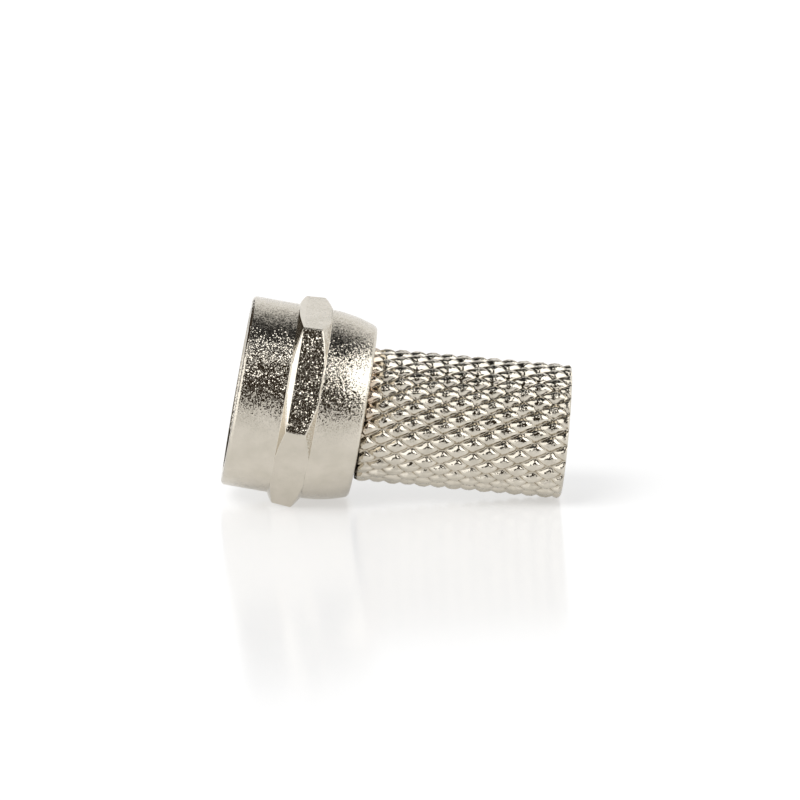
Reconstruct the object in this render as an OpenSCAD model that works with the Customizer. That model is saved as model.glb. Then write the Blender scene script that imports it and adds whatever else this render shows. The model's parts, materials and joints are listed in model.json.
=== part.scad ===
// Twist-on coaxial plug: a captive coupling nut that spins on a knurled sleeve.
// It lies on its side as it comes to rest: the nut leans on its domed rear and on one
// corner of its hexagon, and the sleeve rests on its rear edge.
// Millimetres. +Z is up, the table is z = 0, and the nut's open front faces -X.

/* [Coupling nut] */
// Length of the nut, front face to mouth
nut_l = 7.5; // [6.2:0.1:9]
// Hexagon across flats, at the middle of the collar
hex_af = 11; // [10.9:0.05:13.2]
// How far the round body stands out over the middle of a flat
round_over_flat = 0.1; // [0.05:0.01:0.2]
// Chamfer on the front edge
front_chamfer = 0.2; // [0.1:0.05:0.4]
// How far the domed rear closes in, from the round body to the rim
dome_drop = 0.56; // [0.4:0.02:0.7]
// Slope of the dome where it leaves the round body, in degrees
dome_start_angle = 2; // [0:0.5:4]
// Break on the rear edge of the dome
rim_chamfer = 0.12; // [0.05:0.01:0.2]

/* [Hex collar] */
// Front foot of the collar, from the front face
collar_start = 2.76; // [2:0.02:3.4]
// Width of the collar at its foot
collar_w = 2; // [1.6:0.05:2.4]
// Axial length of the collar's front chamfer
collar_front_chamfer = 0.42; // [0.3:0.02:0.52]
// Axial length of the collar's rear chamfer
collar_rear_chamfer = 0.52; // [0.3:0.02:0.64]
// Draft of the flats, rising towards the rear, in degrees
hex_draft = 3.7; // [0:0.1:5]
// Strip left between each end of a flat and the collar's foot
flat_margin = 0.06; // [0.04:0.01:0.1]
// Slope on which a flat runs out into the round body in front of it
flat_runout = 0.2; // [0.1:0.02:0.3]

/* [Coupling thread] */
// Major diameter of the 3/8-32 thread
thread_major_d = 9.525; // [9.4:0.005:9.6]
// Depth of the thread, from the major to the minor diameter
thread_depth = 0.4; // [0.3:0.01:0.45]

/* [Captive joint] */
// Wall of the nut outside the flange's groove
groove_wall = 0.33; // [0.25:0.01:0.45]
// Thickness of the rear lip that is swaged in behind the flange
lip_t = 0.7; // [0.5:0.02:0.9]
// Thickness of the sleeve's flange
flange_t = 0.8; // [0.6:0.02:1]
// How far the flange reaches out past the edge of the nut's mouth
flange_hold = 0.46; // [0.36:0.01:0.56]
// Least gap between the flange and its groove with the nut cocked
flange_clearance = 0.08; // [0.05:0.01:0.12]
// Radial gap between the barrel's front edge and the nut's mouth
mouth_clearance = 0.25; // [0.2:0.01:0.3]

/* [Sleeve] */
// Length of the barrel behind the nut's mouth
barrel_l = 12; // [9:0.1:15]
// How far the barrel's front edge stands inside the mouth
barrel_inset = 0.18; // [0.1:0.02:0.3]
// Diameter over the knurl at the rear
barrel_rear_d = 7.92; // [7.8:0.02:9.6]
// Break on the rear outer edge
barrel_chamfer = 0.26; // [0.1:0.02:0.32]
// Wall between the jacket bore and the tips of the knurl, at the barrel's thinner end
barrel_wall = 0.75; // [0.62:0.01:0.95]
// Step between the bottom of the knurl and the neck
neck_step = 0.06; // [0.04:0.01:0.1]
// Depth of the jacket bore's floor behind the barrel's front edge
floor_depth = 1.6; // [1.2:0.1:2.4]
// Width of the floor that stops the cable's jacket
floor_w = 0.6; // [0.4:0.02:0.8]
// Countersink at the rear of the jacket bore
lead_in = 0.3; // [0.1:0.02:0.36]

/* [Knurl] */
// Grooves of each hand round the barrel
knurl_starts = 24; // [18:1:30]
// Angle between a groove and the barrel's axis, in degrees
knurl_angle = 30; // [25:1:36]
// Depth of the grooves
knurl_depth = 0.3; // [0.2:0.01:0.36]
// Flat left on top of each diamond, as a share of the distance between grooves
knurl_land = 0.32; // [0.2:0.02:0.5]

/* [Rest] */
// Slope of the nut's axis as it lies, in degrees
nut_tilt = 10.2; // [9:0.1:12]
// How far the sleeve's axis hangs below the nut's at the mouth
sleeve_drop = 0.12; // [0.05:0.01:0.16]

/* [Hidden] */
$fn = 96;
over = 1;   // how far a cutting shape runs past what it cuts

// Nut, measured along its own axis from the front face (0) to the mouth (nut_l)
nut_r = hex_af / 2 + round_over_flat;
collar_end = collar_start + collar_w;
flat_mid = collar_start + collar_w / 2;
crest_start = collar_start + collar_front_chamfer;
crest_end = collar_end - collar_rear_chamfer;
corner_r = corner_at(crest_end);
crest_r = corner_r + 0.05;   // turned a little over the corners, so that the flats trim all of it
front_crest = collar_start + (crest_start - collar_start) * crest_share(crest_start);
rear_crest = collar_end - (collar_end - crest_end) * crest_share(crest_end);

// Dome: one arc that leaves the round body at its start angle and ends at the rim
dome_start = collar_end + 0.1;
rim_r = nut_r - dome_drop;
dome_end_angle = 2 * atan(dome_drop / (nut_l - dome_start)) - dome_start_angle;
dome_r = (nut_l - dome_start) / (sin(dome_end_angle) - sin(dome_start_angle));
dome_centre_s = dome_start - dome_r * sin(dome_start_angle);
dome_centre_r = nut_r - dome_r * cos(dome_start_angle);

// Rest on the table: the dome touches it where its slope is the nut's tilt, or at its rim
mouth_z = dome_end_angle > nut_tilt
    ? dome_r + dome_centre_r * cos(nut_tilt) - (nut_l - dome_centre_s) * sin(nut_tilt)
    : rim_r * cos(nut_tilt);
corner_angle = asin((mouth_z + (nut_l - crest_end) * sin(nut_tilt)) / corner_r / cos(nut_tilt));
pivot_x = -sleeve_drop * sin(nut_tilt);
pivot_z = mouth_z - sleeve_drop * cos(nut_tilt);
rear_r = barrel_rear_d / 2;
heel = barrel_l - barrel_chamfer;   // where the sleeve touches the table
sleeve_tilt = asin(pivot_z / norm([heel, rear_r])) - atan(rear_r / heel);
cock = nut_tilt - sleeve_tilt;      // angle between the two axes

// Captive joint: the largest flange that clears its groove with the nut cocked
groove_r = dome_centre_r + sqrt(dome_r ^ 2 - (nut_l - lip_t - dome_centre_s) ^ 2) - groove_wall;
flange_r = (groove_r - sleeve_drop - flange_clearance
    - (lip_t + flange_clearance + flange_t) * sin(cock)) / (1 + sin(cock) ^ 2);
flange_rear = lip_t + flange_clearance + flange_r * sin(cock);
flange_front = flange_rear + flange_t;
groove_start = nut_l - flange_front - flange_r * sin(cock) - flange_clearance;
mouth_r = flange_r - flange_hold;

// Sleeve, measured along its own axis from the nut's mouth (0) to the rear (barrel_l)
front_r = mouth_r - mouth_clearance;
edge_r = rear_r - barrel_chamfer;
neck_r = front_r - knurl_depth - neck_step;
jacket_r = min(front_r, rear_r) - barrel_wall;
dielectric_r = jacket_r - floor_w;

// Bore of the coupling thread at its crests, and its mouth
thread_r = thread_major_d / 2 - thread_depth;
thread_mouth_r = thread_major_d / 2 + 0.1;

// Knurl: diamonds in half steps round (spoke) and along (row) the barrel
spokes = 2 * knurl_starts;
row_step = PI * barrel_rear_d / spokes / tan(knurl_angle);
knurl_from = -barrel_inset - 1.5 * row_step;
rows = ceil((barrel_l + 0.6 * row_step - knurl_from) / row_step);

// Middle of the part along X, from the outermost edges of its two ends
front_x = -max(nut_l * cos(nut_tilt) + (nut_r - front_chamfer) * sin(nut_tilt),
               (nut_l - front_chamfer) * cos(nut_tilt) + nut_r * sin(nut_tilt));
rear_x = pivot_x + max(barrel_l * cos(sleeve_tilt) + edge_r * sin(sleeve_tilt),
                       heel * cos(sleeve_tilt) + rear_r * sin(sleeve_tilt));
middle_x = (front_x + rear_x) / 2;

// Radius of the hexagon's corners at a distance from the front face
function corner_at(s) = (hex_af / 2 + (s - flat_mid) * tan(hex_draft)) / cos(30);

// How far a chamfer runs on to the turned crest, with 1 where it meets the corner
function crest_share(s) = (crest_r - nut_r) / (corner_at(s) - nut_r);

// Radius over the knurl at a distance behind the mouth
function tip_at(t) = front_r + (rear_r - front_r) * (t + barrel_inset) / (heel + barrel_inset);

// Point at a place round and along the barrel, a given depth below the knurl's tips
function knurl_point(spoke, row, depth) =
    let (t = knurl_from + row * row_step, r = tip_at(t) - depth, angle = spoke * 180 / knurl_starts)
    [r * cos(angle), r * sin(angle), t];

// Number of the point where two grooves cross
function crossing(spoke, row) = row * knurl_starts + floor(((spoke + spokes) % spokes) / 2);

// Number of the first of the four points on top of a diamond
function land(spoke, row) = (rows + 1) * knurl_starts + 4 * crossing(spoke, row - 1);

// Outline of the nut as turned, radius against distance from the front face
module nut_profile() {
    polygon([
        [0, 0], [nut_r - front_chamfer, 0], [nut_r, front_chamfer], [nut_r, collar_start],
        [crest_r, front_crest], [crest_r, rear_crest], [nut_r, collar_end],
        [nut_r, dome_start], [0, dome_start]
    ]);
    intersection() {
        translate([dome_centre_r, dome_centre_s]) circle(dome_r, $fn = 360);
        polygon([
            [0, dome_start], [nut_r + over, dome_start], [rim_r - rim_chamfer + over, nut_l - over],
            [rim_r - rim_chamfer, nut_l], [0, nut_l]
        ]);
    }
}

// What is cut away beyond one drafted flat of the hexagon
module flat_cut() {
    half_w = collar_w / 2 - flat_margin;
    translate([hex_af / 2, 0, flat_mid]) rotate([90, 0, 0]) rotate(-hex_draft)
        linear_extrude(hex_af, center = true) polygon([
            [0, flat_runout - half_w], [flat_runout, -half_w], [hex_af, -half_w],
            [hex_af, half_w], [0, half_w]
        ]);
}

// The nut standing on its front face, with one corner of the hexagon towards +X
module nut_solid() {
    difference() {
        rotate_extrude() nut_profile();
        for (k = [0:5]) rotate(30 + 60 * k) flat_cut();
        translate([0, 0, -over]) cylinder(r = thread_r, h = groove_start + 2 * over);
        translate([0, 0, -over])
            cylinder(r1 = thread_mouth_r + over, r2 = thread_r - over,
                     h = thread_mouth_r - thread_r + 2 * over);
        translate([0, 0, groove_start]) cylinder(r = groove_r, h = nut_l - lip_t - groove_start);
        translate([0, 0, nut_l - lip_t - over]) cylinder(r = mouth_r, h = lip_t + 2 * over);
    }
}

// Diamond knurl: crossing grooves of both hands with a flat-topped diamond between
module knurl_solid() {
    cells = [for (row = [1:rows - 1]) for (k = [0:knurl_starts - 1]) [2 * k + row % 2, row]];
    crossings = [for (row = [0:rows]) for (k = [0:knurl_starts - 1])
        knurl_point(2 * k + (row + 1) % 2, row, knurl_depth)];
    lands = [for (cell = cells) for (step = [[-1, 0], [0, 1], [1, 0], [0, -1]])
        knurl_point(cell[0] + step[0] * knurl_land, cell[1] + step[1] * knurl_land, 0)];
    hubs = [[0, 0, knurl_from], [0, 0, knurl_from + rows * row_step]];
    front_hub = len(crossings) + len(lands);
    faces = [for (cell = cells)
        let (spoke = cell[0], row = cell[1], top = land(spoke, row),
             foot = [crossing(spoke - 1, row), crossing(spoke, row + 1),
                     crossing(spoke + 1, row), crossing(spoke, row - 1)])
        each concat(
            [[top, top + 1, top + 2], [top, top + 2, top + 3]],
            [for (k = [0:3]) [foot[k], foot[(k + 1) % 4], top + (k + 1) % 4]],
            [for (k = [0:3]) [foot[k], top + (k + 1) % 4, top + k]],
            [for (k = row == 1 ? [2, 3] : []) [foot[(k + 1) % 4], foot[k], front_hub]],
            [for (k = row == rows - 1 ? [0, 1] : []) [foot[k + 1], foot[k], front_hub + 1]]
        )];
    polyhedron(concat(crossings, lands, hubs), faces, convexity = 8);
}

// The sleeve standing on its flange's end, with the nut's mouth at 0
module sleeve_solid() {
    difference() {
        union() {
            intersection() {
                knurl_solid();
                rotate_extrude() polygon([
                    [0, -barrel_inset], [rear_r + over, -barrel_inset], [rear_r + over, heel - over],
                    [edge_r, barrel_l], [0, barrel_l]
                ]);
            }
            translate([0, 0, -flange_front]) cylinder(r = flange_r, h = flange_t);
            translate([0, 0, -flange_front]) cylinder(r = neck_r, h = flange_front + floor_depth / 2);
        }
        translate([0, 0, -flange_front - over])
            cylinder(r = dielectric_r, h = flange_front + floor_depth + 2 * over);
        translate([0, 0, floor_depth - barrel_inset]) cylinder(r = jacket_r, h = barrel_l + over);
        translate([0, 0, barrel_l - lead_in - over])
            cylinder(r1 = jacket_r - over, r2 = jacket_r + lead_in + over, h = lead_in + 2 * over);
    }
}

// Lays a piece down: its axis slopes down towards +X, and its own zero goes to the given place
module laid(tilt, x, z) {
    translate([x - middle_x, 0, z]) rotate([0, 90 + tilt, 0]) children();
}

module coupling_nut() {
    color([0.76, 0.74, 0.70])
        laid(nut_tilt, 0, mouth_z) translate([0, 0, -nut_l]) rotate(corner_angle - 90) nut_solid();
}

module knurled_sleeve() {
    color([0.80, 0.78, 0.73])
        laid(sleeve_tilt, pivot_x, pivot_z) sleeve_solid();
}

coupling_nut();
knurled_sleeve();
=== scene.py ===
"""A twist-on coaxial plug, nickel plated, lying on its side on a pale glossy table.

Two pieces stand for the two CAD nodes and ride on their bodies: the hexagon coupling nut with
its 3/8-32 thread, and the diamond-knurled sleeve with the coarse thread that bites on a cable's
jacket.  Every surface of both is one loft of rings round the piece's own axis.

Sizes are in millimetres and follow the CAD model, which has neither the threads nor the domed and
crushed tops of the diamonds.  Here small edges are rounded, the nut's front chamfer is smaller,
the front chamfer of its collar is steeper, and its flats run out longer and shallower.  The bores
and the places of the axes come from the frame.
"""

import json
import math

import bpy
import numpy as np
from mathutils import Matrix, Vector


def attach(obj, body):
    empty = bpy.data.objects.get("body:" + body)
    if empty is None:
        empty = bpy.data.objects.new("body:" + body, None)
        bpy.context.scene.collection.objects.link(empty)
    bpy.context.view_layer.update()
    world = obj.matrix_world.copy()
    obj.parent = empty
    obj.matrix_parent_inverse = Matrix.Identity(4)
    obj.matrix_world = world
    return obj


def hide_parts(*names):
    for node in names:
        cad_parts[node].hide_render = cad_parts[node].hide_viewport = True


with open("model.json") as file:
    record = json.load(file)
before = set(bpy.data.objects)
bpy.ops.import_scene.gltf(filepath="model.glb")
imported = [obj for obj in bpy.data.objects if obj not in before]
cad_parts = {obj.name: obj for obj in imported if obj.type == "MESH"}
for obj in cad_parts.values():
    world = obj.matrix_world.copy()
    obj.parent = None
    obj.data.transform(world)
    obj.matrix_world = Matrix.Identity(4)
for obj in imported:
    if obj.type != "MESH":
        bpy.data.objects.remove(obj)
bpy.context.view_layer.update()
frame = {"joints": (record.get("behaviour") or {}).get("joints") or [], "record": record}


def named(rows, name):
    """The row with this name, among the frame's joints or mounts."""
    return next(row for row in rows if row["name"] == name)


NUT_SPIN = named(frame["joints"], "nut_spin")
COUPLING_BORE = named(frame["record"]["mounts"], "coupling_thread")
JACKET_BORE = named(frame["record"]["mounts"], "jacket_socket")
DIELECTRIC_BORE = named(frame["record"]["mounts"], "dielectric_bore")

MM = 0.001
TURN = 2 * math.pi

# Mesh
COARSE = 144                # points round the nut, apart from its collar
FINE = 576                  # points round the collar
CLOSE = 0.02                # small step along the axis where two stretches of rings meet
THREAD_SAMPLES = 12         # rings for each turn of a thread
THREAD_GAP = 0.05           # from a plain stretch of a bore to the first ring of its thread
EDGE = 0.05                 # radius of a small edge
FINE_EDGE = 0.03            # and of a finer one
SOFT_EDGE = 0.08            # and of a softer one
ARC_SHARE = 0.45            # most of a straight stretch that the curve of one edge takes up
SUPPORT_SHARE = 0.48        # farthest point on it that still belongs to that edge

# Diamond knurl
REAR_R = 3.96               # over the tips of the diamonds at the barrel's rear
KNURL_STARTS = 24           # grooves of each hand
SPOKES = 2 * KNURL_STARTS   # half steps from diamond to diamond round the barrel
KNURL_ANGLE = math.radians(30)
SPOKE_STEP = TURN * REAR_R / SPOKES   # length of one
ROW_STEP = round(SPOKE_STEP / math.tan(KNURL_ANGLE), 6)  # and of one along it, to a nanometre
KNURL_DEPTH = 0.3
KNURL_RISE = 0.07           # how far the rolled diamonds stand above the barrel's cone at the front
DOME_TOP_R = 0.85           # radius of the diamonds' tops
FLANK = 1.75                # steepness of the grooves, in depths per half a pitch
WEAK_HAND = 0.75            # depth of the weaker hand's grooves, beside the other's
UNEVEN = 0.05               # how much the diamonds differ in height, as a share of their depth
CRUSHED = 0.16              # roughness of the diamonds' crushed tops, likewise
CRUSH_START, CRUSH_FULL = 0.7, 0.9  # heights on a diamond between which the crushing sets in
GROOVE_BLEND = 0.1          # rounding where grooves cross, as a share of the depth
TOP_BLEND = 0.2             # rounding between a groove and a diamond's top, likewise
CAP_BLEND = 0.02            # rounding where the barrel's ends cut the diamonds
KNURL_SAMPLES = 14          # columns of the mesh from groove to groove
HASH = (12.9898, 78.233, 43758.5453)  # the usual numbers for scattering with a sine
GRIT_TURN, GRIT_ALONG = 1e4, 1e3      # places with a chance of their own, in a radian and a millimetre

# Sleeve, measured from the nut's mouth
BARREL_FRONT, BARREL_REAR = -0.18, 12.0
HEEL = 11.74                # where the sleeve touches the table
FRONT_ROUND, REAR_ROUND = 0.1, 0.3  # radii of the barrel's outer edges
KNURL_FROM = BARREL_FRONT - 1.5 * ROW_STEP  # where the rows of diamonds are counted from
JACKET_R = JACKET_BORE["dims"]["r_mm"]
BARREL_WALL = 0.75          # from the jacket bore to the tips at the barrel's front
FRONT_R = JACKET_R + BARREL_WALL
NECK_STEP = 0.06            # from the bottom of the grooves down to the neck
NECK_R = FRONT_R - KNURL_DEPTH - NECK_STEP
LEAD_IN = 0.3
JACKET_END = BARREL_REAR - LEAD_IN
JACKET_FLOOR = JACKET_END - JACKET_BORE["dims"]["length_mm"]
JACKET_PLAIN = 0.1          # plain stretch of the jacket bore beside its thread
JACKET_PITCH = 1.25
JACKET_DEPTH = 0.22
JACKET_FADE = 0.6           # length over which the thread's ends fade
DIELECTRIC_R = DIELECTRIC_BORE["dims"]["r_mm"]
FLANGE_T = 0.8
FLANGE_FRONT = JACKET_FLOOR - DIELECTRIC_BORE["dims"]["length_mm"]
FLANGE_REAR = FLANGE_FRONT + FLANGE_T
MOUTH_GAP = 0.25            # between the barrel's front edge and the nut's mouth
MOUTH_R = FRONT_R + MOUTH_GAP
FLANGE_HOLD = 0.46          # how far the flange reaches out behind that mouth
FLANGE_R = MOUTH_R + FLANGE_HOLD
SEAM_R = DIELECTRIC_R + 0.2  # where the skin starts and ends, on the flange's front face

# Coupling nut, measured from its front face
NUT_L = 7.5
HEX_AF = 11.0
NUT_R = 5.6
FRONT_CHAMFER = 0.16
COLLAR_START, COLLAR_END = 2.76, 4.76
COLLAR_MIDDLE = (COLLAR_START + COLLAR_END) / 2
COLLAR_FOOT = 0.08          # round body that the collar's fine mesh takes in at each end
CREST_START, CREST_END = 3.204, 4.205  # the collar's chamfers lie outside these
CREST_R = 6.437             # turned a little over the hexagon's corners
HEX_DRAFT = math.radians(3.7)
HEX_BLEND = 0.1             # rounding of the hexagon's edges
CORNER_ANGLE = math.radians(65.09 - 90)  # so that one corner lies on the table
FLAT_MARGIN = 0.06
FLAT_START, FLAT_END = COLLAR_START + FLAT_MARGIN, COLLAR_END - FLAT_MARGIN
PAST_FLAT = 4               # slope at which the cut of a flat ends, in the margins
FLAT_RUNOUT = 0.34
RUNOUT_END = FLAT_START + FLAT_RUNOUT
RUNOUT_SLOPE = 0.5
DOME_START = 4.86
DOME_DROP = 0.56            # how far the dome closes in
DOME_START_ANGLE = math.radians(2)
DOME_END_ANGLE = 2 * math.atan(DOME_DROP / (NUT_L - DOME_START)) - DOME_START_ANGLE
DOME_R = (NUT_L - DOME_START) / (math.sin(DOME_END_ANGLE) - math.sin(DOME_START_ANGLE))
DOME_RINGS = 15
RIM_BREAK = 0.12            # break on the dome's rear edge
RIM_R = NUT_R - DOME_DROP - RIM_BREAK
LIP_T = 0.7
GROOVE_WALL = 0.33          # of the nut outside the flange's groove
COUNTERSINK = 0.5
COUPLING_R = COUPLING_BORE["dims"]["r_mm"]
COUNTERSINK_R = COUPLING_R + COUNTERSINK
GROOVE_START = COUNTERSINK + COUPLING_BORE["dims"]["length_mm"]
COUPLING_PLAIN = 0.25       # plain stretch of the bore in front of the groove
COUPLING_END = GROOVE_START - COUPLING_PLAIN
COUPLING_FADE = 0.5         # length over which the thread's end fades
COUPLING_PITCH = 25.4 / 32
COUPLING_DEPTH = 0.36


# Profiles and rings

def axis_matrix(origin, rear):
    """Places a piece whose own +Z runs along its axis to the rear, and whose own +X hangs down."""
    z = Vector(rear).normalized()
    y = Vector((0, 1, 0))
    x = y.cross(z)
    place = Matrix((x, y, z)).transposed().to_4x4()
    place.translation = Vector(origin)
    return place @ Matrix.Scale(MM, 4)


def rising(x, start, end):
    """0 at start and before it, 1 at end and past it, and straight between."""
    return np.clip((x - start) / (end - start), 0, 1)


def softer_min(a, b, blend):
    """The lower of two heights, with the crease between them rounded."""
    h = np.clip(blend - np.abs(a - b), 0, None) / blend
    return np.minimum(a, b) - h * h * blend / 4


def rounded(corners, steps=4):
    """Points (s, r) along a profile of (s, r, edge radius) corners. Each corner is a small curve
    with a point on either side that keeps the stretch beside it straight."""
    points = [corners[0][:2]]
    for before, (s, r, size), after in zip(corners, corners[1:], corners[2:]):
        here = np.array((s, r))
        legs = [np.array(other[:2]) - here for other in (before, after)]
        lengths = [np.linalg.norm(leg) for leg in legs]
        back, on = (leg / length for leg, length in zip(legs, lengths))
        cut = min(size, ARC_SHARE * min(lengths))
        support = [min(2 * cut, SUPPORT_SHARE * length) for length in lengths]
        points.append(here + back * support[0])
        for k in range(steps + 1):
            w = k / steps
            points.append(here + back * cut * (1 - w) ** 2 + on * cut * w ** 2)
        points.append(here + on * support[1])
    points.append(corners[-1][:2])
    return [tuple(float(v) for v in p) for p in points]


def stepped(a, b, step):
    """Points on the straight line from a up to b, without b, a step apart or a little less."""
    count = max(1, math.ceil(math.dist(a, b) / step))
    return [tuple(np.array(a) + (np.array(b) - np.array(a)) * k / count) for k in range(count)]


def ring(s, r, count, turn=0.0, lift=None):
    """One ring round the axis; lift changes the radius at each angle."""
    angle = TURN * np.arange(count) / count + turn
    radius = np.full(count, float(r)) if lift is None else lift(s, r, angle)
    return np.stack([radius * np.cos(angle), radius * np.sin(angle), np.full(count, float(s))], 1)


def band(a, m, b, n, split):
    """The faces between a ring of m points, numbered from a, and one of n points, numbered from b.
    Where the counts differ, one is a multiple of the other. split: each quad as two triangles."""
    if m < n:
        per = n // m
        fans = [[b + (j * per + i) % n for i in range(per + 1)] for j in range(m)]
        return [[a + j] + fan + [a + (j + 1) % m] for j, fan in enumerate(fans)]
    if m > n:
        per = m // n
        fans = [[a + (j * per + i) % m for i in range(per, -1, -1)] for j in range(n)]
        return [[b + j, b + (j + 1) % n] + fan for j, fan in enumerate(fans)]
    j = np.arange(n)
    up = (j + 1) % n
    if not split:
        return np.stack([a + j, b + j, b + up, a + up], 1).tolist()
    halves = ([a + j, b + j, b + up], [a + j, b + up, a + up])
    return [face for half in halves for face in np.stack(half, 1).tolist()]


def loft(name, rings, place, split=(), attributes=None):
    """A closed skin through the rings and back to the first. split: the rings after which quads
    become triangles. attributes: functions of the points that give the material's attributes."""
    starts = np.cumsum([0] + [len(r) for r in rings])
    faces = []
    for k, here in enumerate(rings):
        following = (k + 1) % len(rings)
        faces += band(int(starts[k]), len(here), int(starts[following]), len(rings[following]),
                      k in split)
    mesh = bpy.data.meshes.new(name)
    points = np.concatenate(rings)
    mesh.from_pydata(points.tolist(), [], faces)
    for attribute, level in (attributes or {}).items():
        mesh.attributes.new(attribute, "FLOAT", "POINT").data.foreach_set("value", level(points))
    mesh.transform(place)
    mesh.validate()
    mesh.shade_smooth()
    piece = bpy.data.objects.new(name, mesh)
    bpy.context.scene.collection.objects.link(piece)
    return piece


def thread_wave(phase):
    """A rounded thread: 0 on the crests and 1 in the roots."""
    wave = 0.5 - 0.5 * np.cos(TURN * phase)
    return wave * wave * (3 - 2 * wave)


# Coupling nut

def hexagon(s, r, angle):
    """The turned radius trimmed by the six drafted flats and their run-outs."""
    flat = HEX_AF / 2 + (s - COLLAR_MIDDLE) * math.tan(HEX_DRAFT)
    runout = RUNOUT_SLOPE * max(RUNOUT_END - s, 0)
    past = max(FLAT_START - s, s - FLAT_END, 0)
    sixth = TURN / 6
    away = (angle - CORNER_ANGLE) % sixth - sixth / 2
    sides = [(flat + runout) / np.cos(away + k * sixth) + PAST_FLAT * past for k in (-1, 0, 1)]
    trimmed = softer_min(sides[1], np.minimum(sides[0], sides[2]), HEX_BLEND)
    return softer_min(np.full(len(angle), float(r)), trimmed, HEX_BLEND)


def coupling_thread(s, r, angle):
    """The bore's radius with the thread cut into it, fading out before the flange's groove."""
    fade = rising(COUPLING_END - s, 0, COUPLING_FADE)
    depth = COUPLING_DEPTH * fade * thread_wave(s / COUPLING_PITCH - angle / TURN)
    return np.maximum(COUPLING_R + depth, r)


def nut_front():
    """The front face outside the countersink, its chamfer, and the round body up to the collar."""
    return rounded([
        (0, COUNTERSINK_R + 0.05, 0),
        (0, NUT_R - FRONT_CHAMFER, SOFT_EDGE),
        (FRONT_CHAMFER, NUT_R, SOFT_EDGE),
        (COLLAR_START - COLLAR_FOOT - 2 * CLOSE, NUT_R, 0),
    ])


def collar():
    """The collar as turned, with its chamfers, in steps fine enough for the hexagon's edges."""
    foot_step, step = 0.03, 0.05
    outline = [
        (COLLAR_START - COLLAR_FOOT, NUT_R), (COLLAR_START, NUT_R), (CREST_START, CREST_R),
        (CREST_END, CREST_R), (COLLAR_END, NUT_R), (COLLAR_END + COLLAR_FOOT, NUT_R),
    ]
    steps = (foot_step, step, step, step, foot_step)
    return [point for a, b, size in zip(outline, outline[1:], steps) for point in stepped(a, b, size)]


def dome_radius(s):
    """Radius of the dome: one arc that leaves the round body at its start angle."""
    centre_s = DOME_START - DOME_R * math.sin(DOME_START_ANGLE)
    centre_r = NUT_R - DOME_R * math.cos(DOME_START_ANGLE)
    return centre_r + math.sqrt(DOME_R ** 2 - (s - centre_s) ** 2)


def dome():
    """The domed rear, up to where its rim is rounded."""
    rim = 0.18
    return [(s, dome_radius(s)) for s in np.linspace(DOME_START + CLOSE, NUT_L - rim, DOME_RINGS)]


def nut_mouth(s, r):
    """From the dome's end (s, r) over the rim and the swaged lip, through the flange's groove."""
    rim_slope, rim_step, lip_edge = 0.4, 0.04, 0.09
    groove_r = dome_radius(NUT_L - LIP_T) - GROOVE_WALL
    return rounded([
        (s + CLOSE, r - rim_slope * CLOSE, 0),
        (NUT_L - rim_step, RIM_R + 2 * rim_step, SOFT_EDGE),
        (NUT_L, RIM_R - rim_step / 2, EDGE),
        (NUT_L, MOUTH_R, lip_edge),
        (NUT_L - LIP_T, MOUTH_R, EDGE),
        (NUT_L - LIP_T, groove_r, FINE_EDGE),
        (GROOVE_START, groove_r, FINE_EDGE),
        (GROOVE_START, COUPLING_R, EDGE),
        (COUPLING_END, COUPLING_R, 0),
    ])


def nut_rings():
    domed = dome()
    rings = [ring(s, r, COARSE) for s, r in nut_front()]
    rings += [ring(s, r, FINE, lift=hexagon) for s, r in collar()]
    rings += [ring(s, r, COARSE) for s, r in domed + nut_mouth(*domed[-1])]
    for s in np.arange(COUPLING_END - THREAD_GAP, 2 * CLOSE, -COUPLING_PITCH / THREAD_SAMPLES):
        sunk = COUPLING_R + max(0.0, COUNTERSINK - s)
        rings.append(ring(s, sunk, COARSE, lift=coupling_thread))
    rings.append(ring(CLOSE, COUNTERSINK_R, COARSE))
    return rings


# Knurled sleeve

def tip_radius(t):
    """Radius over the knurl, a little larger towards the rear."""
    front = FRONT_R + KNURL_RISE
    return front + (REAR_R - front) * (t - BARREL_FRONT) / (HEEL - BARREL_FRONT)


def groove(share):
    """Height of a V groove's flanks: 0 at its bottom, half way between whole numbers, and rising
    to both sides."""
    return FLANK * (1 - 2 * np.abs(share - np.round(share)))


def chance(a, b):
    """A number from -0.5 to 0.5 that looks random and is always the same for the same a and b."""
    return np.sin(a * HASH[0] + b * HASH[1]) * HASH[2] % 1 - 0.5


def knurl_depth(t, angle):
    """How far the diamonds' domed tops and the crossing grooves go down from the tips."""
    spoke = angle * SPOKES / TURN
    row = (t - KNURL_FROM) / ROW_STEP
    u, v = (spoke + row) / 2, (spoke - row) / 2
    du, dv = u - np.round(u), v - np.round(v)
    across, along = (du + dv) * SPOKE_STEP, (du - dv) * ROW_STEP
    # A number for each diamond: 31 and 17 keep neighbours apart
    diamond = np.round(u) % KNURL_STARTS * 31 + np.round(v) % KNURL_STARTS * 17
    uneven = UNEVEN * np.sin(diamond * HASH[0]) ** 2
    top = 1 - uneven - (across ** 2 + along ** 2) / (2 * DOME_TOP_R * KNURL_DEPTH)
    crossing = softer_min(groove(u), 1 - WEAK_HAND + groove(v), GROOVE_BLEND)
    tall = softer_min(top, crossing, TOP_BLEND)
    grit = chance(np.round(angle * GRIT_TURN), round(t * GRIT_ALONG))
    crushed = CRUSHED * grit * rising(tall, CRUSH_START, CRUSH_FULL)
    return KNURL_DEPTH * np.clip(1 - tall - crushed, 0, 1)


def knurl(t, cap, angle):
    """The barrel's radius over the knurl, no farther out than the cap."""
    outside = np.full(len(angle), float(cap))
    return softer_min(tip_radius(t) - knurl_depth(t, angle), outside, CAP_BLEND)


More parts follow.
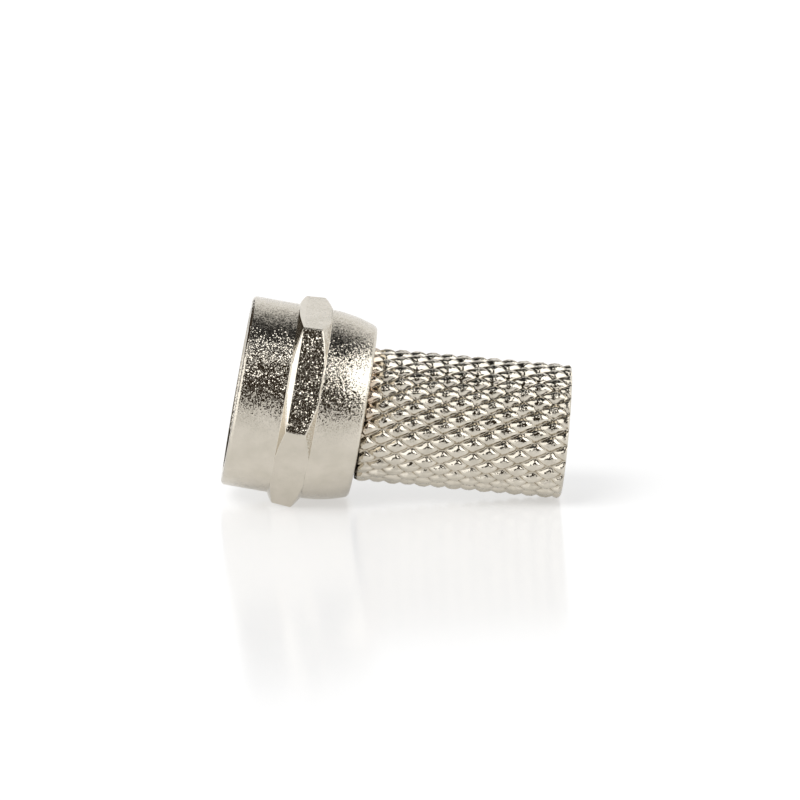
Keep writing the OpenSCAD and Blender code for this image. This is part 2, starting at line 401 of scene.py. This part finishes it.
def jacket_thread(s, r, angle):
    """The bore's radius with the coarse thread that bites on a cable's jacket."""
    ends = min(s - JACKET_FLOOR - JACKET_PLAIN, JACKET_END + JACKET_PLAIN - s)
    depth = JACKET_DEPTH * rising(ends, 0, JACKET_FADE)
    return r + depth * thread_wave(s / JACKET_PITCH - angle / TURN)


def sleeve_front():
    """The flange, the neck and the barrel's front face."""
    return rounded([
        (FLANGE_FRONT, SEAM_R, 0),
        (FLANGE_FRONT, FLANGE_R, SOFT_EDGE),
        (FLANGE_REAR, FLANGE_R, SOFT_EDGE),
        (FLANGE_REAR, NECK_R, 0.06),
        (BARREL_FRONT, NECK_R, 0.04),
        (BARREL_FRONT, FRONT_R - 2 * FRONT_ROUND, 0),
    ])


def knurl_rows():
    """Place along the barrel and cap of each ring over the knurl, with a round edge at both ends."""
    uncapped = REAR_R + 1
    front_rings, rear_rings = 4, 8
    rows = [(BARREL_FRONT + FRONT_ROUND * (1 - math.cos(a)), FRONT_R - FRONT_ROUND * (1 - math.sin(a)))
            for a in np.linspace(0, TURN / 4, front_rings)]
    pitch = ROW_STEP / KNURL_SAMPLES
    t = KNURL_FROM + pitch * math.ceil((rows[-1][0] - KNURL_FROM) / pitch)
    while t < BARREL_REAR - REAR_ROUND:
        rows.append((t, uncapped))
        t += pitch
    return rows + [
        (BARREL_REAR - REAR_ROUND + REAR_ROUND * math.sin(a), REAR_R - REAR_ROUND * (1 - math.cos(a)))
        for a in np.linspace(0, TURN / 4, rear_rings + 1)[1:]]


def sleeve_rear():
    """The rear face, the lead-in, and the plain end of the jacket bore."""
    return rounded([
        (BARREL_REAR, REAR_R - REAR_ROUND - 0.06, 0),
        (BARREL_REAR, JACKET_R + LEAD_IN, EDGE),
        (JACKET_END, JACKET_R, EDGE),
        (JACKET_END - JACKET_PLAIN, JACKET_R, 0),
    ])


def sleeve_bore():
    """The jacket bore's floor and the dielectric bore, forward to the flange's front face."""
    return rounded([
        (JACKET_FLOOR + JACKET_PLAIN, JACKET_R, 0),
        (JACKET_FLOOR, JACKET_R, 0.04),
        (JACKET_FLOOR, DIELECTRIC_R, 0.06),
        (FLANGE_FRONT, DIELECTRIC_R, SOFT_EDGE),
        (FLANGE_FRONT, SEAM_R, 0),
    ])[:-1]


def sleeve_rings():
    """The sleeve's rings, and which of them the knurl's triangles follow. The knurl's columns turn
    with one hand of its grooves, and the rings inside the sleeve turn back again."""
    count = KNURL_STARTS * KNURL_SAMPLES
    quarter = count // 4
    skew = -TURN / SPOKES / ROW_STEP
    turn = skew * (BARREL_REAR - KNURL_FROM)
    rings = [ring(s, r, quarter) for s, r in sleeve_front()]
    first = len(rings)
    rings += [ring(t, cap, count, skew * (t - KNURL_FROM), knurl) for t, cap in knurl_rows()]
    split = range(first, len(rings) - 1)
    rings += [ring(s, r, quarter, turn) for s, r in sleeve_rear()]
    rings += [ring(s, JACKET_R, quarter, turn, jacket_thread)
              for s in np.arange(JACKET_END - JACKET_PLAIN - THREAD_GAP,
                                 JACKET_FLOOR + JACKET_PLAIN + CLOSE,
                                 -JACKET_PITCH / THREAD_SAMPLES)]
    rings += [ring(s, r, quarter, turn * (s - FLANGE_FRONT) / (JACKET_FLOOR - FLANGE_FRONT))
              for s, r in sleeve_bore()]
    return rings, split


# Attributes of the points, which the materials read: where the grain is smooth, and where shade and a
# warm reflection are painted

SMOOTH = 0.5                # level of groove that takes the grain away and doesn't paint shade yet
WARM_REFLECTION_L = 0.9                # how far behind the nut the painted warm reflection reaches
WARM_REFLECTION_SIDE, WARM_REFLECTION_UP = 0.4, 1.5  # strength of the painted warm reflection at the barrel's side, and what facing up adds
GAP_SHADE_L = 0.13               # how far the painted shade of the dark gap reaches onto the barrel


def along_and_out(points):
    """Each point's place along its piece's axis, and its distance from it."""
    return points[:, 2], np.hypot(points[:, 0], points[:, 1])


def runout_shade(points):
    """Smooth on the collar's turned front chamfer and the flats' run-outs; 0 elsewhere."""
    s, _ = along_and_out(points)
    return np.where((s > COLLAR_START - CLOSE) & (s < RUNOUT_END), SMOOTH, 0)


def groove_smoothing_and_painted_shade(points):
    """1 at the bottom of the knurl's grooves, 0 on the tips of the diamonds and off the knurl. It
    smooths the grain there and, from part way down, paints shade into the grooves.
    """
    t, r = along_and_out(points)
    rear_edge = 0.2
    on_knurl = (t > BARREL_FRONT + FRONT_ROUND) & (t < BARREL_REAR - rear_edge)
    outside = r > FRONT_R - 1.5 * KNURL_DEPTH
    return np.where(on_knurl & outside, np.clip((tip_radius(t) - r) / KNURL_DEPTH, 0, 1), 0)


def painted_warm_reflection(points):
    """Painted warm reflection: 1 at the upper side of the knurl's front edge, fading out downwards and
    behind the nut.
    """
    t, r = along_and_out(points)
    up = -points[:, 0] / r
    warm = rising(t, WARM_REFLECTION_L, 0) * np.clip(WARM_REFLECTION_SIDE + WARM_REFLECTION_UP * up, 0, 1)
    return np.where(t > BARREL_FRONT, warm, 0)


def painted_gap_shade(points):
    """Painted shade: 1 on the neck and the barrel's front face, which lie in shade behind the nut's lip.
    """
    t, r = along_and_out(points)
    return np.where((t < BARREL_FRONT + GAP_SHADE_L) & (t > FLANGE_REAR) & (r > JACKET_R), 1.0, 0.0)


# Materials

WHITE = (1.0, 1.0, 1.0, 1)
NO_TINT = (1.0, 1.0, 1.0)
PAINTED_LIGHT_TINTS = {                   # attribute: the level at which its painted light begins, and the full tint
    # painted shade: darker towards the bottom of the knurl's grooves
    "groove": (0.55, (0.82, 0.8, 0.77)),
    # painted warm reflection on the upper side of the knurl's front edge
    "warm": (0.0, (0.92, 0.74, 0.62)),
    # painted shade: near black in the gap behind the nut's lip
    "deep": (0.0, (0.06, 0.05, 0.04)),
}
CLOUDS = {"Scale": 900.0, "Detail": 3.0}  # blotches in the plating, about a millimetre across
CLOUD_SPAN = (0.35, 0.65)   # levels of the blotches with the dark and the light plating
GRAIN_SPAN = (0.35, 0.8)    # levels of the smoothest and the roughest grains
MIDDLE = (0.5, 0.5, 0.5)    # colour of a grain that doesn't lean
SMOOTH_TILT = 0.1           # what is left of the grains' tilt where the plating is smooth


def bare_tree(owner):
    """The emptied node tree of a new material or world."""
    owner.use_nodes = True
    owner.node_tree.nodes.clear()
    return owner.node_tree


def node(tree, kind, *values, **settings):
    """A new node. Settings go to its inputs or its own properties by name, and values go to its
    inputs in order. One that is another node's output becomes a link."""
    made = tree.nodes.new(kind)
    for key, value in [*settings.items(), *enumerate(values)]:
        if isinstance(key, str) and key not in made.inputs:
            setattr(made, key, value)
        elif isinstance(value, bpy.types.NodeSocket):
            tree.links.new(value, made.inputs[key])
        else:
            made.inputs[key].default_value = value
    return made


def vector_math(tree, operation, *values, **settings):
    """The result of one step of arithmetic on vectors."""
    return node(tree, "ShaderNodeVectorMath", *values, operation=operation, **settings).outputs[0]


def ramp(tree, source, stops):
    """A colour ramp with two stops, each a place and a colour or a grey."""
    made = node(tree, "ShaderNodeValToRGB", Fac=source)
    for element, (place, colour) in zip(made.color_ramp.elements, stops):
        element.position = place
        element.color = (*colour, 1) if isinstance(colour, tuple) else (colour,) * 3 + (1,)
    return made.outputs["Color"]


def nickel(name, colours, gloss, grain, tilt):
    """Nickel plating over a blasted surface. colours: dark and light plating; gloss: roughness of
    the smoothest and the roughest grains; grain: their size; tilt: how far each one leans at
    random, which the attribute groove takes away. The table of tints says what the attributes
    colour: painted shade in the grooves and in the gap, and a painted warm reflection."""
    material = bpy.data.materials.new(name)
    tree = bare_tree(material)
    place = node(tree, "ShaderNodeTexCoord").outputs["Object"]
    cloud = node(tree, "ShaderNodeTexNoise", Vector=place, **CLOUDS).outputs["Fac"]
    grains = node(tree, "ShaderNodeTexVoronoi", Vector=place, Scale=1 / (grain * MM)).outputs["Color"]

    colour = ramp(tree, cloud, zip(CLOUD_SPAN, colours))
    levels = {}
    # Painted light: each attribute multiplies its tint of shade or warm reflection into the colour
    for attribute, (start, tint) in PAINTED_LIGHT_TINTS.items():
        levels[attribute] = node(tree, "ShaderNodeAttribute", attribute_name=attribute).outputs["Fac"]
        painted_light = ramp(tree, levels[attribute], [(start, NO_TINT), (1.0, tint)])
        colour = vector_math(tree, "MULTIPLY", colour, painted_light)

    rough = ramp(tree, grains, zip(GRAIN_SPAN, gloss))
    share = ramp(tree, levels["groove"], [(0.0, tilt), (SMOOTH, SMOOTH_TILT * tilt)])
    lean = vector_math(tree, "SCALE", vector_math(tree, "SUBTRACT", grains, MIDDLE), Scale=share)
    surface = node(tree, "ShaderNodeNewGeometry").outputs["Normal"]
    normal = vector_math(tree, "NORMALIZE", vector_math(tree, "ADD", lean, surface))

    shader = node(tree, "ShaderNodeBsdfPrincipled", colour, Metallic=1.0, Roughness=rough, Normal=normal)
    node(tree, "ShaderNodeOutputMaterial", Surface=shader.outputs["BSDF"])
    return material


def blasted_nickel():
    """The nut's plating: fine grain, some of it dull."""
    return nickel("blasted_nickel", colours=((0.62, 0.575, 0.49), (0.68, 0.63, 0.545)),
                  gloss=(0.03, 0.25), grain=0.055, tilt=0.3)


def bright_nickel():
    """The sleeve's plating: coarser grain, all of it bright."""
    return nickel("bright_nickel", colours=((0.6, 0.555, 0.47), (0.7, 0.65, 0.56)),
                  gloss=(0.03, 0.12), grain=0.075, tilt=0.3)


def camera_or_glossy(tree):
    """1 for rays from the camera, from reflections and through glass; 0 for light on matt surfaces."""
    path = node(tree, "ShaderNodeLightPath").outputs
    level = path["Is Camera Ray"]
    for kind in ("Is Glossy Ray", "Is Transmission Ray"):
        level = node(tree, "ShaderNodeMath", level, path[kind], operation="MAXIMUM").outputs[0]
    return level


def white_acrylic():
    """Glossy white plastic: a mid grey that keeps shadows, with a glow that only the camera and
    reflections see."""
    material = bpy.data.materials.new("white_acrylic")
    tree = bare_tree(material)
    grey, glow_level = (0.5, 0.5, 0.5, 1), 0.44
    gloss = node(tree, "ShaderNodeBsdfPrincipled", grey, Roughness=0.16, IOR=1.38)
    seen = node(tree, "ShaderNodeMath", camera_or_glossy(tree), glow_level, operation="MULTIPLY")
    glow = node(tree, "ShaderNodeEmission", Color=WHITE, Strength=seen.outputs[0])
    both = node(tree, "ShaderNodeAddShader", gloss.outputs[0], glow.outputs[0])
    node(tree, "ShaderNodeOutputMaterial", Surface=both.outputs[0])
    return material


def card_glow(name, colour, radiance, fade):
    """What a card gives off. fade: the share of its height past which it pales to the room's white."""
    material = bpy.data.materials.new(name)
    tree = bare_tree(material)
    strength = radiance
    if fade is not None:
        place = node(tree, "ShaderNodeTexCoord").outputs["Generated"]
        height = node(tree, "ShaderNodeSeparateXYZ", place).outputs["Y"]
        strength = node(tree, "ShaderNodeMapRange", height, fade, 1.0, radiance, 1.0).outputs[0]
    glow = node(tree, "ShaderNodeEmission", Color=colour, Strength=strength)
    node(tree, "ShaderNodeOutputMaterial", Surface=glow.outputs["Emission"])
    return material


# The two pieces

def build_nut():
    mouth = Vector(NUT_SPIN["pos_m"])
    rear = -Vector(NUT_SPIN["axis"])
    nut = loft("hex_coupling_nut", nut_rings(), axis_matrix(mouth - rear * NUT_L * MM, rear),
               attributes={"groove": runout_shade})
    nut.data.materials.append(blasted_nickel())
    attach(nut, "nut")
    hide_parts("coupling_nut")


def build_sleeve():
    rear = Vector(JACKET_BORE["axis"])
    middle = (JACKET_FLOOR + JACKET_END) / 2
    origin = Vector(JACKET_BORE["pos_m"]) - rear * middle * MM
    rings, split = sleeve_rings()
    # Its attributes smooth the knurl's grain, paint shade into the grooves and the gap, and paint a warm
    # reflection on the front edge
    sleeve = loft("diamond_knurled_sleeve", rings, axis_matrix(origin, rear), split,
                  {"groove": groove_smoothing_and_painted_shade, "warm": painted_warm_reflection, "deep": painted_gap_shade})
    sleeve.data.materials.append(bright_nickel())
    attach(sleeve, "sleeve")
    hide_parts("knurled_sleeve")


# Stage, lights and camera, in metres

CORNERS = ((-1, -1), (1, -1), (1, 1), (-1, 1))
FLOOR_HALF = 3.0
CARD_DISTANCE, FLAG_DISTANCE = 0.6, 0.65
DARK_ROOM = (1.0, 0.78, 0.55, 1)
ROOM_LIGHT = 0.5            # the room's level on matt surfaces
LAMP_PLACE = (-0.35, -0.35, 0.6)
LAMP_SIDE = 0.5
LAMP_WATTS = 4.2
LENS_MM, SENSOR_MM = 281, 36
CAMERA_AIM = Vector((0.00022, 0, 0.00583))
CAMERA_DISTANCE = 0.366
CAMERA_ELEVATION = math.radians(13)
CLIP = (0.01, 20)


def flat_sheet(name, corners, material):
    """A sheet with four corners and one material."""
    mesh = bpy.data.meshes.new(name)
    mesh.from_pydata(corners, [], [(0, 1, 2, 3)])
    mesh.materials.append(material)
    sheet = bpy.data.objects.new(name, mesh)
    bpy.context.scene.collection.objects.link(sheet)
    return sheet


def stand(name, data, place, direction):
    """A lamp or camera at a place, looking in a direction."""
    made = bpy.data.objects.new(name, data)
    made.location = place
    made.rotation_euler = direction.to_track_quat("-Z", "Y").to_euler()
    bpy.context.scene.collection.objects.link(made)
    return made


def card(name, azimuth, elevation, size, radiance, colour=WHITE, fade=None, distance=CARD_DISTANCE):
    """A flat card that only reflections see. Azimuth 0 is the camera's side and 90 the right;
    elevation goes over the top, to 180 at the far side. size is its width and height."""
    turn, rise = math.radians(azimuth), math.radians(elevation)
    out = Vector((math.sin(turn) * math.cos(rise), -math.cos(turn) * math.cos(rise), math.sin(rise)))
    side = Vector((math.cos(turn), math.sin(turn), 0)) * size[0] / 2
    up = out.cross(side.normalized()) * size[1] / 2
    sheet = flat_sheet(name, [out * distance + side * a + up * b for a, b in CORNERS],
                       card_glow(name, colour, radiance, fade))
    sheet.visible_camera = False
    sheet.visible_diffuse = False
    sheet.visible_shadow = False


def flag(name, azimuth, elevation, size, radiance, colour=DARK_ROOM, fade=None):
    """A dark card behind the bright ones."""
    card(name, azimuth, elevation, size, radiance, colour, fade, FLAG_DISTANCE)


def build_studio():
    """What the metal mirrors: a dark room on the camera's side, thin bright strips in front of it,
    and soft boxes beside."""
    flag("flag_front", azimuth=3, elevation=30.5, size=(1.35, 0.7), radiance=0.04)
    flag("flag_top", azimuth=0, elevation=102, size=(1.0, 1.2), radiance=0.03, colour=WHITE, fade=0.53)
    card("strip_low", azimuth=4, elevation=29, size=(0.18, 0.048), radiance=3.0)
    card("strip_middle", azimuth=15, elevation=60, size=(0.25, 0.062), radiance=2.7)
    card("strip_high", azimuth=17, elevation=79, size=(0.24, 0.04), radiance=2.6)
    card("soft_left", azimuth=-70, elevation=26, size=(0.7, 0.66), radiance=1.6)
    flag("flag_left", azimuth=-130, elevation=24, size=(0.75, 0.64), radiance=0.05)
    card("soft_right", azimuth=69, elevation=35, size=(0.6, 0.46), radiance=2.1)


def build_world():
    """White where it is seen, directly or mirrored, and dimmer where it lights matt surfaces."""
    world = bpy.data.worlds.new("studio")
    bpy.context.scene.world = world
    tree = bare_tree(world)
    white = node(tree, "ShaderNodeBackground", Color=WHITE, Strength=1.0)
    room = node(tree, "ShaderNodeBackground", Color=WHITE, Strength=ROOM_LIGHT)
    mix = node(tree, "ShaderNodeMixShader", camera_or_glossy(tree), room.outputs[0], white.outputs[0])
    node(tree, "ShaderNodeOutputWorld", Surface=mix.outputs[0])


def build_floor():
    corners = [(a * FLOOR_HALF, b * FLOOR_HALF, 0) for a, b in CORNERS]
    floor = flat_sheet("table", corners, white_acrylic())


def build_lamp():
    """The key light: a wide soft box, up in front on the left."""
    data = bpy.data.lights.new("key", "AREA")
    data.shape = "RECTANGLE"
    data.size = data.size_y = LAMP_SIDE
    data.energy = LAMP_WATTS
    lamp = stand("key", data, LAMP_PLACE, -Vector(LAMP_PLACE))
    lamp.visible_glossy = False
    lamp.visible_camera = False


def build_camera():
    data = bpy.data.cameras.new("camera")
    data.sensor_width, data.lens = SENSOR_MM, LENS_MM
    data.clip_start, data.clip_end = CLIP
    back = Vector((0, -math.cos(CAMERA_ELEVATION), math.sin(CAMERA_ELEVATION)))
    camera = stand("camera", data, CAMERA_AIM + back * CAMERA_DISTANCE, -back)
    bpy.context.scene.camera = camera


build_camera()
build_world()
build_floor()
build_lamp()
build_studio()
build_nut()
build_sleeve()
bpy.context.scene.view_settings.view_transform = "Standard"
